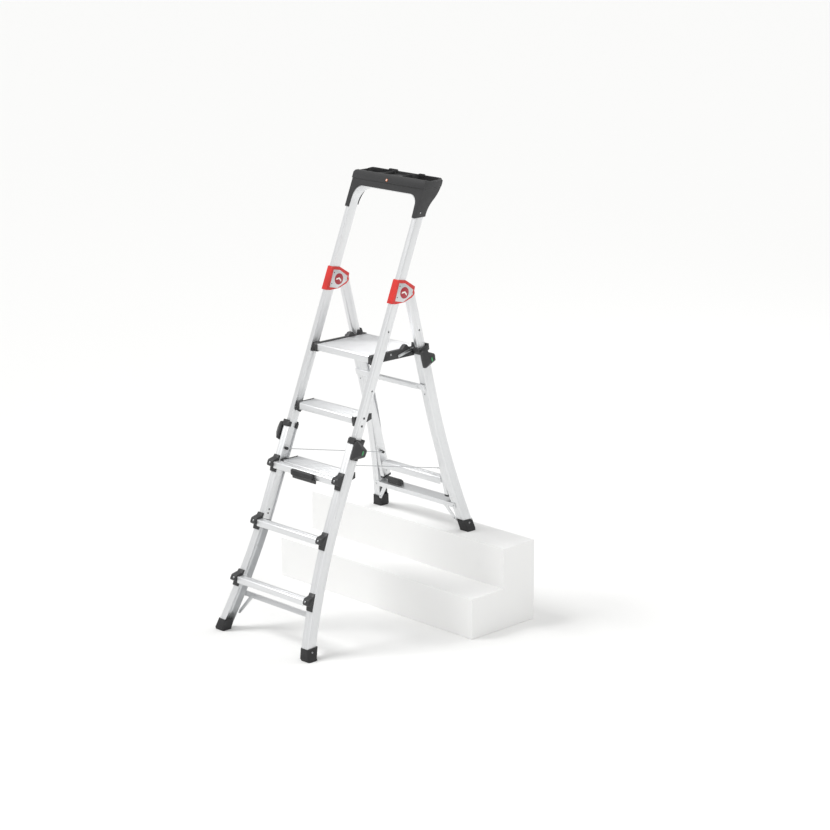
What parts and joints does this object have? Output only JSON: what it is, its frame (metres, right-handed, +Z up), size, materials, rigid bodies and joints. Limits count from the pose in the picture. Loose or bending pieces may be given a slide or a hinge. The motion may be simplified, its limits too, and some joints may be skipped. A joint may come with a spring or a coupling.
{
  "type": "folding step ladder",
  "caption": "Folding aluminium platform step ladder with telescopic outer legs for standing over stairs, a fold-up platform, a handrail bow and a tool tray.",
  "frame": {"origin": "centre of the ladder's footprint, on the floor under the front boots", "axes": "+X across the ladder to its right, +Y from the climbing side to the back, +Z up"},
  "size_m": [0.5852, 0.9675, 1.867],
  "materials": {
    "aluminium": "satin mill",
    "black_plastic": "moulded",
    "red_plastic": "moulded",
    "zinc_steel": "zinc plated",
    "rubber": "moulded",
    "cord_sheath": "braided"
  },
  "bodies": {
    "front_frame": {"front_bow": "aluminium", "front_rail_plug_R": "black_plastic", "front_rail_plug_L": "black_plastic", "hinge_housing_R": "red_plastic", "hinge_housing_L": "red_plastic", "hinge_pin_R": "zinc_steel", "hinge_pin_L": "zinc_steel", "front_stay_anchor_R": "black_plastic", "front_stay_anchor_L": "black_plastic", "upper_tread": "aluminium", "middle_tread": "aluminium", "upper_tread_bracket_R": "black_plastic", "upper_tread_bracket_L": "black_plastic", "middle_tread_bracket_R": "black_plastic", "middle_tread_bracket_L": "black_plastic", "tray": "black_plastic", "stay_cord_R": "cord_sheath", "stay_cord_L": "cord_sheath"},
    "rear_frame": {"rear_rail_R": "aluminium", "rear_rail_L": "aluminium", "rear_rail_plug_R": "black_plastic", "rear_rail_plug_L": "black_plastic", "rear_stay_anchor_R": "black_plastic", "rear_stay_anchor_L": "black_plastic", "rear_bar": "aluminium"},
    "platform": {"platform_deck": "aluminium", "platform_arm_R": "black_plastic", "platform_arm_L": "black_plastic", "platform_strap_R": "zinc_steel", "platform_strap_L": "zinc_steel"},
    "front_legs": {"front_leg_R": "aluminium", "front_leg_L": "aluminium", "front_collar_R": "black_plastic", "front_collar_L": "black_plastic", "step_1_bracket_R": "black_plastic", "step_1_bracket_L": "black_plastic", "step_2_bracket_R": "black_plastic", "step_2_bracket_L": "black_plastic", "step_3_bracket_R": "black_plastic", "step_3_bracket_L": "black_plastic", "front_brace": "aluminium", "front_boot_R": "rubber", "front_boot_L": "rubber", "step_1": "aluminium", "step_2": "aluminium", "step_3": "aluminium"},
    "rear_legs": {"rear_leg_R": "aluminium", "rear_leg_L": "aluminium", "rear_collar_R": "black_plastic", "rear_collar_L": "black_plastic", "rear_brace": "aluminium", "rear_rung": "aluminium", "rear_boot_R": "rubber", "rear_boot_L": "rubber"},
    "front_lock_right": {"front_lock_R": "black_plastic"},
    "front_lock_left": {"front_lock_L": "black_plastic"},
    "rear_lock_right": {"rear_lock_R": "black_plastic"},
    "rear_lock_left": {"rear_lock_L": "black_plastic"},
    "release_handle": {"release_handle": "black_plastic"},
    "transport_latch": {"transport_latch": "black_plastic"}
  },
  "joints": [
    {"name": "fold", "type": "hinge", "parent": "front_frame", "child": "rear_frame", "pos_m": [0, 0.18022, 1.405], "axis": [-1, 0, 0], "range_deg": [0, 35.5], "deforming": ["stay_cord_R", "stay_cord_L"]},
    {"name": "platform_fold", "type": "hinge", "parent": "front_frame", "child": "platform", "pos_m": [0, 0.00278, 1.155], "axis": [1, 0, 0], "range_deg": [0, 65.5]},
    {"name": "front_legs_slide", "type": "slide", "parent": "front_frame", "child": "front_legs", "axis": [0, 0.3746, 0.9272], "range_m": [0, 0.4994]},
    {"name": "rear_legs_slide", "type": "slide", "parent": "rear_frame", "child": "rear_legs", "axis": [0, 0.2571, -0.9664], "range_m": [0, 0.4791]},
    {"name": "front_lock_right_pull", "type": "hinge", "parent": "front_legs", "child": "front_lock_right", "pos_m": [0.21935, -0.12927, 0.83885], "axis": [0, -0.9272, 0.3746], "range_deg": [0, 20], "stiffness_Nm_per_rad": 1.5},
    {"name": "front_lock_left_pull", "type": "hinge", "parent": "front_legs", "child": "front_lock_left", "pos_m": [-0.21935, -0.12927, 0.83885], "axis": [0, 0.9272, -0.3746], "range_deg": [0, 20], "stiffness_Nm_per_rad": 1.5},
    {"name": "rear_lock_right_pull", "type": "hinge", "parent": "rear_legs", "child": "rear_lock_right", "pos_m": [0.21935, 0.2406, 1.16252], "axis": [0, -0.9664, -0.2571], "range_deg": [0, 20], "stiffness_Nm_per_rad": 1.5},
    {"name": "rear_lock_left_pull", "type": "hinge", "parent": "rear_legs", "child": "rear_lock_left", "pos_m": [-0.21935, 0.2406, 1.16252], "axis": [0, 0.9664, 0.2571], "range_deg": [0, 20], "stiffness_Nm_per_rad": 1.5},
    {"name": "release_squeeze", "type": "hinge", "parent": "front_legs", "child": "release_handle", "pos_m": [0, -0.25824, 0.695], "axis": [-1, 0, 0], "range_deg": [0, 18], "stiffness_Nm_per_rad": 1.5},
    {"name": "latch_swing", "type": "hinge", "parent": "rear_legs", "child": "transport_latch", "pos_m": [0, 0.43185, 0.48266], "axis": [-1, 0, 0], "range_deg": [0, 10]}
  ],
  "couplings": [
    {"joint": "platform_fold", "follows": "fold", "ratio": 1.842}
  ]
}
